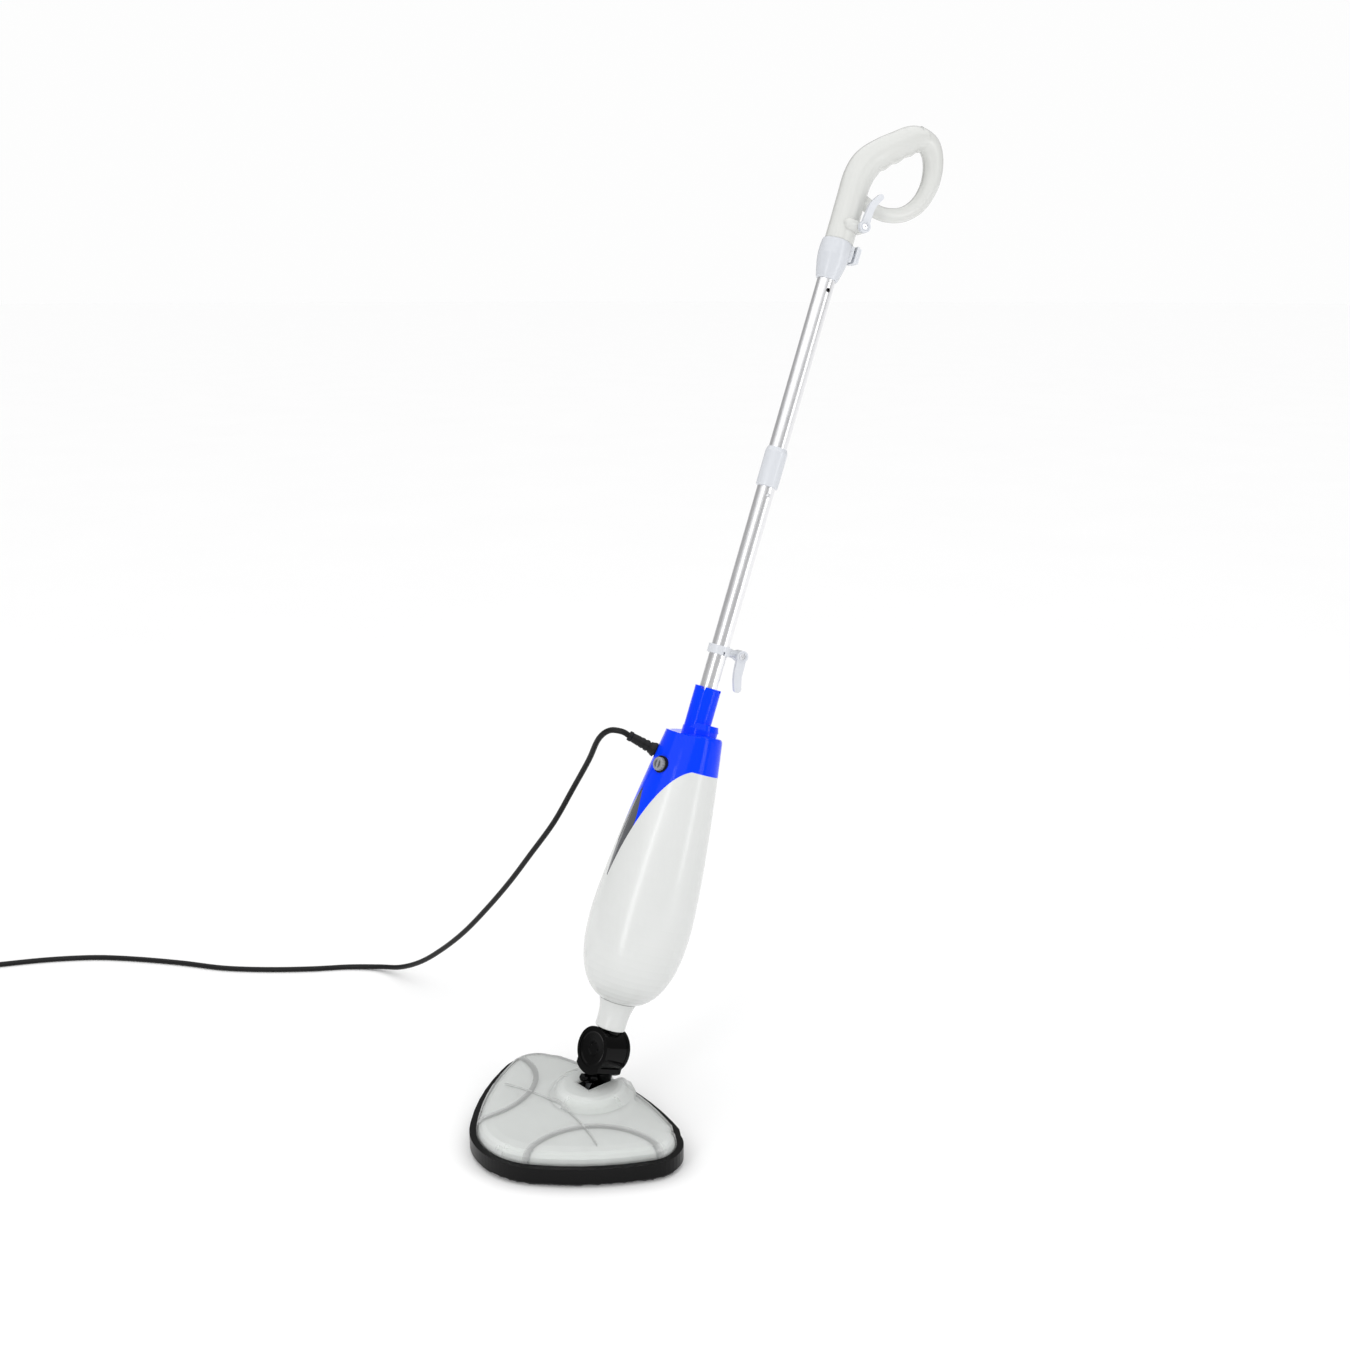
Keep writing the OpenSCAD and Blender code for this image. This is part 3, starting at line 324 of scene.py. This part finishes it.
def microfibre(name, light, dark):
    """Looped pile: small tufts in rows, matt with a soft sheen, with painted shade between the
    tufts.
    """
    look = Look(name, Sheen_Weight=0.6, Sheen_Roughness=0.5, Roughness=0.9)
    tuft_and_painted_shade = look.node("ShaderNodeTexVoronoi", {"feature": "SMOOTH_F1"},
                     {"Vector": look.place(), "Scale": 420, "Smoothness": 0.4})
    strand = look.grain(2400, 3, 0.7)
    # darker between the tufts, where the relief is lowest: painted shade
    look.colour(look.mix(tuft_and_painted_shade * 1.1 + strand * 0.3, (*light, 1), (*dark, 1)))
    look.roughness(0.8 + strand * 0.15)
    look.relief((1 - tuft_and_painted_shade) + strand * 0.3, 0.0007, 0.8)
    return look


WHITE = moulded("gloss white housing", rgb(218, 219, 218), rgb(211, 213, 211), 0.24, 0.1, 0.2)
GRIP = moulded("warm white grip", rgb(217, 218, 215), rgb(210, 211, 208), 0.24, 0.1, 0.2,
               rounded=3 * MM)
PALE = moulded("bluish white fittings", rgb(213, 216, 221), rgb(206, 209, 215), 0.26, 0.1, 0.15)
BLUE = moulded("gloss blue", (0.0, 0.05, 1.0), (0.0, 0.038, 0.92), 0.1, 0.05, 0.1, 0.1)
BLACK = moulded("gloss black joint", rgb(8, 8, 9), rgb(4, 4, 5), 0.12, 0.08, 0.0, 0.12)
DECK = deck_plastic("white deck", rgb(238, 240, 237), rgb(230, 232, 229), rgb(188, 190, 190))
GREY = moulded("grey plastic", rgb(150, 152, 156), rgb(132, 134, 138), 0.4, 0.12, 0.1)
SMOKED = moulded("smoked tank", rgb(86, 88, 92), rgb(58, 60, 64), 0.1, 0.06, 0.7)
# the tubes' broad light and dark streaks are painted reflection over their fine grain
TUBE = brushed_with_painted_reflection("brushed aluminium tube", (0.97, 0.97, 0.98), (0.78, 0.78, 0.80))
STEEL = bright_metal("bright steel", (0.72, 0.73, 0.75), (0.5, 0.5, 0.52))
BRASS = bright_metal("brass", (0.75, 0.56, 0.27), (0.55, 0.40, 0.18))
CAST = bright_metal("cast aluminium", (0.62, 0.63, 0.65), (0.42, 0.43, 0.45), 0.5)
# the pebbled black parts carry painted shade in their pits and painted highlight on their ridges
FRAME_BLACK = textured("black pad frame", rgb(14, 14, 15), rgb(5, 5, 6), 0.3)
DARK = textured("satin black", rgb(34, 34, 36), rgb(18, 18, 20), 0.4, 1500, 0.00005)
RUBBER = rubbery("black rubber", rgb(26, 26, 28), rgb(12, 12, 13), 0.42)
CORD = rubbery("black cord", rgb(16, 16, 18), rgb(7, 7, 8), 0.4)
HOSE = rubbery("silicone hose", rgb(214, 214, 206), rgb(190, 190, 182), 0.5)
CLEAR = clear_plastic("clear cover", (0.86, 0.87, 0.86))
# the pad's pile carries painted shade between its tufts
PILE = microfibre("microfibre pad", rgb(38, 38, 40), rgb(12, 12, 13))

FINISHES = {
    WHITE: ["front_shell", "rear_shell", "neck_socket"],
    GRIP: ["grip_left", "grip_right"],
    PALE: ["pole_sleeve", "handle_collar", "handle_button", "lower_hook_clamp",
           "lower_hook", "upper_hook"],
    BLUE: ["top_housing", "filler_cap"],
    BLACK: ["swivel_hub", "swivel_yoke", "axle_caps", "head_release"],
    DECK: ["head_deck"],
    GREY: ["hinge_bracket", "head_base", "steam_dial"],
    SMOKED: ["water_tank"],
    TUBE: ["lower_tube", "upper_tube"],
    STEEL: ["steam_pipe", "case_screws", "snap_buttons", "lower_hook_screw",
            "upper_hook_screw", "grip_screws", "button_spring", "swivel_axle",
            "release_spring", "hinge_pin", "head_screws"],
    BRASS: ["plug_pins", "steam_nozzle"],
    CAST: ["boiler"],
    FRAME_BLACK: ["pad_frame"],
    DARK: ["pump", "steam_valve", "dial_bezel", "pole_core"],
    RUBBER: ["strain_relief", "hub_seal", "plug_body"],
    CORD: ["power_cord", "cord_coil"],
    HOSE: ["tank_hose"],
    CLEAR: ["head_cover"],
    PILE: ["mop_pad"],
}


def finish_nodes():
    for look, names in FINISHES.items():
        for name in names:
            slots = nodes[name].material_slots
            if not slots:
                nodes[name].data.materials.append(look.material)
            for slot in slots:
                slot.material = look.material


finish_nodes()


# -------------------------------------------------------------------- cord
CORD_D = 7 * MM
RELIEF_ANGLE, RELIEF_Z, RELIEF_TILT, RELIEF_LEN = -22, 403, 13, 37
HOUSING_WALL = 2.5
WIDE_Z, WIDE_R, TOP_Z, TOP_R = 212, 60.3, 432, 34   # where the housing is widest, and its top
COIL_RADIUS = 40 * MM             # of the middle turn
TURNS_WIDE = 4
WHOLE_TURNS = 14
TAIL_TURN = math.radians(60)      # of the plug on the coil
TAIL = Vector((-28, 34, 41)) * MM  # where the cord enters the plug, from the coil's centre
LEAVE_COIL = math.radians(250)    # where the top turn starts to rise to the plug, from the plug
# The hanging part and the part on the floor, in the room
ROUTE = [
    (-69, 88, 448), (-86, 85, 434), (-109, 88, 402), (-141, 88, 358), (-175, 83, 306),
    (-216, 76, 254), (-258, 70, 203), (-302, 63, 154), (-346, 56, 109), (-392, 50, 70),
    (-438, 43, 37), (-482, 35, 15), (-520, 22, 6), (-553, -8, 3.5), (-583, -52, 3.5),
    (-622, -100, 3.5), (-668, -145, 3.5), (-722, -182, 3.5), (-778, -226, 3.5),
    (-824, -270, 3.5), (-862, -325, 3.5), (-891, -382, 3.5), (-912, -426, 3.5),
    (-925, -466, 3.5),
]


def housing_radius(height):
    """Radius of the tapering housing at a height of its own frame, in mm."""
    return WIDE_R - (WIDE_R - TOP_R) * ((height - WIDE_Z) / (TOP_Z - WIDE_Z)) ** 1.35


def on_relief(along):
    """A point of the strain relief's axis, so far from the housing's wall (mm)."""
    tilt = math.radians(RELIEF_TILT)
    root = housing_radius(RELIEF_Z) - 0.5
    out = along + HOUSING_WALL
    return HOUSING @ on_spoke(RELIEF_ANGLE, RELIEF_Z + out * math.sin(tilt),
                              root - HOUSING_WALL + out * math.cos(tilt))


def turn_spot(turn):
    """Radius and height of a turn of the coil: layers are wound inwards, then outwards."""
    layer, place = divmod(turn, TURNS_WIDE)
    outermost = COIL_RADIUS + (TURNS_WIDE - 1) / 2 * CORD_D + 0.5 * MM
    steps = place if layer % 2 == 0 else TURNS_WIDE - 1 - place
    return outermost - steps * CORD_D, CORD_D * (layer + 0.5)


def wind(centre, start, turns, per_turn=40):
    """Clockwise turns from an angle, easing from each spot to the next over its last fifth."""
    line = []
    for k in range(1, int(turns * per_turn) + 1):
        turn, part = divmod(k / per_turn, 1)
        ease = max(0, (part - 0.8) / 0.2)
        ease = ease * ease * (3 - 2 * ease)
        (r0, z0), (r1, z1) = turn_spot(int(turn)), turn_spot(int(turn) + 1)
        radius, height = r0 + (r1 - r0) * ease, z0 + (z1 - z0) * ease
        angle = start - math.tau * k / per_turn
        line.append(Vector((centre.x + radius * math.cos(angle),
                            centre.y + radius * math.sin(angle), height)))
    return line


def cord_line():
    """The cord's centreline, from the strain relief to the plug."""
    leave = on_relief(RELIEF_LEN)
    ahead = (leave - on_relief(0)).normalized()
    free = smooth([leave, leave + 9 * MM * ahead] + [Vector(p) * MM for p in ROUTE], 6)
    run_in = (free[-1] - free[-2]).normalized()
    aside = Vector((run_in.y, -run_in.x, 0))
    centre = free[-1] + turn_spot(0)[0] * aside
    start = math.atan2(-aside.y, -aside.x)
    turns = WHOLE_TURNS + (start - TAIL_TURN - LEAVE_COIL) % math.tau / math.tau
    coil = wind(centre, start, turns)

    def over_coil(x, y, z):
        across = Matrix.Rotation(TAIL_TURN, 4, "Z") @ Vector((x, y, 0))
        return Vector((centre.x + across.x, centre.y + across.y, z))

    def rising(angle, radius, height):
        a = math.radians(angle)
        return over_coil(radius * MM * math.cos(a), radius * MM * math.sin(a), height * MM)

    rise = smooth([coil[-1], rising(228, 44, 26.5), rising(205, 44.5, 31), rising(182, 45, 35.5),
                   rising(160, 45, 39), over_coil(TAIL.x - 9 * MM, TAIL.y - 1.5 * MM, TAIL.z),
                   over_coil(*TAIL), over_coil(TAIL.x + 6 * MM, TAIL.y, TAIL.z)], 6)
    return free + coil + rise[1:]


def lay_cord():
    line = cord_line()
    curve = bpy.data.curves.new("mains cord", "CURVE")
    curve.dimensions = "3D"
    curve.bevel_depth = CORD_D / 2
    curve.bevel_resolution = 5
    curve.use_fill_caps = True
    spline = curve.splines.new("POLY")
    spline.points.add(len(line) - 1)
    for spot, point in zip(spline.points, line):
        spot.co = (*point, 1)
    spline.use_smooth = True
    cord = bpy.data.objects.new("mains_cord", curve)
    bpy.context.collection.objects.link(cord)
    curve.materials.append(CORD.material)
    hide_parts("power_cord", "cord_coil")
    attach(cord, "housing")
    round(run_length(line), 2)


lay_cord()


# --------------------------------------------------------------------- pad
PAD_H = 6 * MM
PAD_SKIN = 0.1 * MM      # kept clear of the floor and the frame
PAD_CELL = 4 * MM
PAD_PRESSURE = 4
PAD_MOMENTS = 20
PAD_SHRINK = 1.3 * MM    # taken off before it swells
PAD_SWELL = 1.2 * MM     # the furthest that a point moves


def stuff(pad):
    """Swells the pad under a light pressure, as stitched cloth over a thin filling."""
    remesh = pad.modifiers.new("even cloth", "REMESH")
    remesh.mode = "VOXEL"
    remesh.voxel_size = PAD_CELL
    bpy.ops.object.modifier_apply(modifier=remesh.name)
    shape = bmesh.new()
    shape.from_mesh(pad.data)
    shape.normal_update()
    for vert in shape.verts:
        vert.co -= vert.normal * PAD_SHRINK
    shape.to_mesh(pad.data)
    shape.free()
    before = [v.co.copy() for v in pad.data.vertices]
    cloth = pad.modifiers.new("cloth", "CLOTH")
    cloth.settings.use_pressure = True
    cloth.settings.uniform_pressure_force = PAD_PRESSURE
    cloth.settings.effector_weights.gravity = 0
    for moment in range(1, PAD_MOMENTS + 1):
        bpy.context.scene.frame_set(moment)
    bpy.ops.object.modifier_apply(modifier=cloth.name)
    bpy.context.scene.frame_set(1)
    for vert, start in zip(pad.data.vertices, before):
        moved = vert.co - start
        if moved.length > PAD_SWELL:
            vert.co = start + moved.normalized() * PAD_SWELL


def make_pad():
    mesh = nodes["mop_pad"].data.copy()
    pad = bpy.data.objects.new("microfibre_pad", mesh)
    bpy.context.collection.objects.link(pad)
    pad.matrix_world = nodes["mop_pad"].matrix_world
    bpy.context.view_layer.objects.active = pad
    pad.select_set(True)
    stuff(pad)
    finer = pad.modifiers.new("finer", "SUBSURF")
    finer.levels = finer.render_levels = 1
    bpy.ops.object.modifier_apply(modifier=finer.name)
    place = pad.matrix_world
    back = place.inverted()
    for vert in pad.data.vertices:
        spot = place @ vert.co
        spot.z = min(max(spot.z, PAD_SKIN), PAD_H - PAD_SKIN)
        vert.co = back @ spot
    for face in pad.data.polygons:
        face.use_smooth = True
    pad.data.materials.clear()
    pad.data.materials.append(PILE.material)
    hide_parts("mop_pad")
    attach(pad, "head")


make_pad()


# ---------------------------------------------------------- floor and light
STAGE_RADIUS = 60
WORLD_LIGHT, WORLD_SEEN = 0.40, 0.985
SUN_POWER, SUN_SPREAD = 2.1, math.radians(110)
SOFTBOX_SIZE = (0.4, 1.8)


def add_stage():
    """A wide pale disc, so that its edge never shows against the backdrop."""
    floor_mesh = bpy.data.meshes.new("studio floor")
    shape = bmesh.new()
    bmesh.ops.create_circle(shape, cap_ends=True, segments=96, radius=STAGE_RADIUS)
    shape.to_mesh(floor_mesh)
    shape.free()
    floor = bpy.data.objects.new("studio_floor", floor_mesh)
    bpy.context.collection.objects.link(floor)
    look = Look("studio floor", Specular_IOR_Level=0.1)
    look.colour(look.mix(look.grain(2), (0.94, 0.94, 0.94, 1), (0.96, 0.96, 0.96, 1)))
    look.roughness(0.7 + look.grain(5) * 0.1)
    floor_mesh.materials.append(look.material)


def add_lamp(kind, name, place, aim, power):
    data = bpy.data.lights.new(name, kind)
    data.energy = power
    lamp = bpy.data.objects.new(name, data)
    bpy.context.collection.objects.link(lamp)
    lamp.location = place
    lamp.rotation_euler = (Vector(aim) - Vector(place)).to_track_quat("-Z", "Y").to_euler()
    return data


def add_softbox(name, around, away, height, size, power):
    """A tall softbox, so far round from the front towards +X, that faces the mop."""
    a = math.radians(around)
    data = add_lamp("AREA", name, (away * math.sin(a), -away * math.cos(a), height),
                    (0, 0.2, 0.6), power)
    data.shape = "RECTANGLE"
    data.size, data.size_y = size


def light_world():
    """A white backdrop that lights the mop more dimly than it looks."""
    world = bpy.data.worlds.new("studio")
    bpy.context.scene.world = world
    world.use_nodes = True
    tree = world.node_tree
    sky = tree.nodes["Background"]
    sky.inputs[0].default_value = (1, 1, 1, 1)
    seen = tree.nodes.new("ShaderNodeLightPath")
    level = tree.nodes.new("ShaderNodeMapRange")
    level.inputs["To Min"].default_value = WORLD_LIGHT
    level.inputs["To Max"].default_value = WORLD_SEEN
    tree.links.new(seen.outputs["Is Camera Ray"], level.inputs["Value"])
    tree.links.new(level.outputs[0], sky.inputs[1])


def light_studio():
    light_world()
    sun = add_lamp("SUN", "overhead light", (0.3, -0.6, 4), (0, 0, 0), SUN_POWER)
    sun.angle = SUN_SPREAD
    add_softbox("front softbox", 20, 2.2, 1.0, SOFTBOX_SIZE, 9)
    add_softbox("side softbox", 112, 2.2, 1.0, SOFTBOX_SIZE, 7)
    bpy.context.scene.view_settings.view_transform = "Standard"


add_stage()
light_studio()
